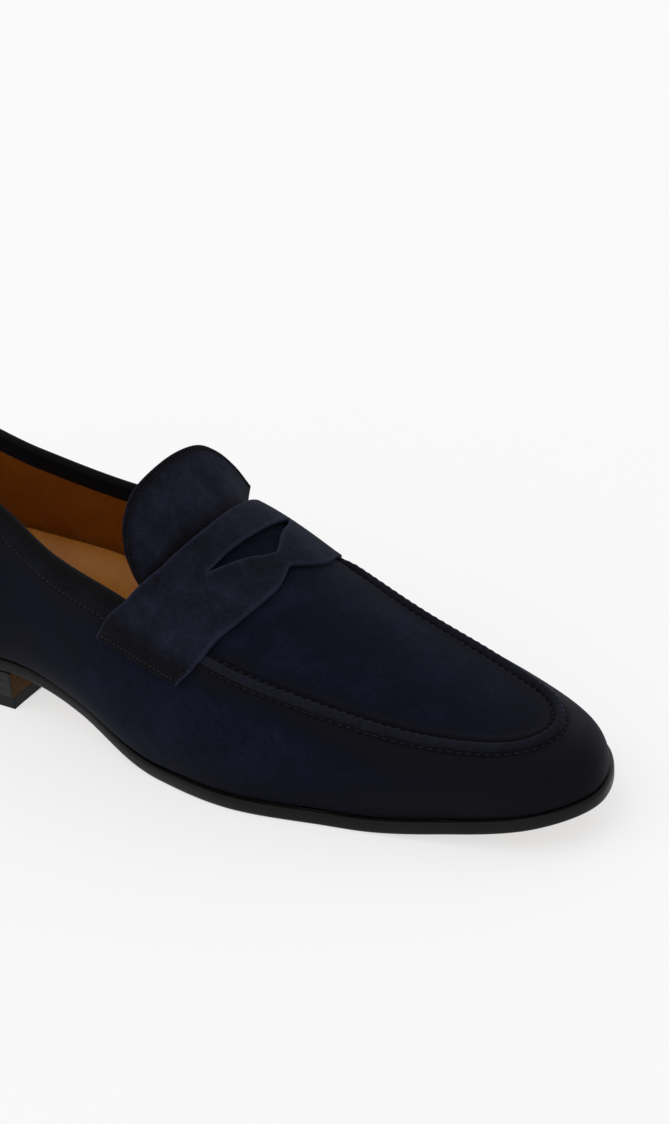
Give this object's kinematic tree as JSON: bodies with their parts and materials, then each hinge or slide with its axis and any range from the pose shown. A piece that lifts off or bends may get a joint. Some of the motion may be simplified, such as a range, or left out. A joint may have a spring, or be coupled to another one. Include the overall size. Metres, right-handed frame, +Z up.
{
  "type": "penny loafer",
  "caption": "Left suede penny loafer with an apron front, a slotted saddle strap, a lined hinged tongue, a leather sole and a stacked heel.",
  "frame": {"origin": "centre of the shoe's bounding box in plan, on the floor plane under the heel and the tread", "axes": "toe towards -Y, heel towards +Y, lateral (outer) side +X, medial (arch) side -X, +Z up"},
  "size_m": [0.1046, 0.3008, 0.0959],
  "materials": {
    "navy_suede": "napped suede, burnished darker at the toe, seams and heel",
    "dark_suede": "burnished suede edge",
    "lining_leather": "smooth vegetable-tanned leather",
    "sole_leather": "dyed, waxed leather edge",
    "lift_leather": "dyed, waxed stacked leather, brown at the breast",
    "top_piece_rubber": "matte rubber",
    "insole_leather": "raw insole leather",
    "cork": "pressed cork",
    "stiffener": "stiffened fibre board",
    "nail_steel": "plain steel",
    "brad_brass": "dull brass",
    "thread": "waxed thread"
  },
  "bodies": {
    "shoe": {"outsole": "sole_leather", "heel_lift_1": "lift_leather", "heel_lift_2": "lift_leather", "heel_lift_3": "lift_leather", "heel_top_piece": "top_piece_rubber", "heel_nails": "nail_steel", "top_piece_brads": "brad_brass", "insole": "insole_leather", "cork_filler": "cork", "shank": "nail_steel", "sock_liner": "lining_leather", "toe_puff": "stiffener", "heel_counter": "stiffener", "vamp": "navy_suede", "apron": "navy_suede", "moc_lip": "dark_suede", "heel_foxing": "navy_suede", "topline_collar": "dark_suede", "saddle_strap": "navy_suede", "apron_lining": "lining_leather", "vamp_lining": "lining_leather", "quarter_lining": "lining_leather", "moc_thread": "thread", "strap_thread": "thread", "collar_thread": "thread", "foxing_thread": "thread"},
    "tongue": {"tongue": "navy_suede", "tongue_lining": "lining_leather", "tongue_thread": "thread"}
  },
  "joints": [
    {"name": "tongue_flex", "type": "hinge", "parent": "shoe", "child": "tongue", "pos_m": [-0.00283, 0.00111, 0.07589], "axis": [1, 0, 0], "range_deg": [-8, 30], "stiffness_Nm_per_rad": 0.08}
  ]
}
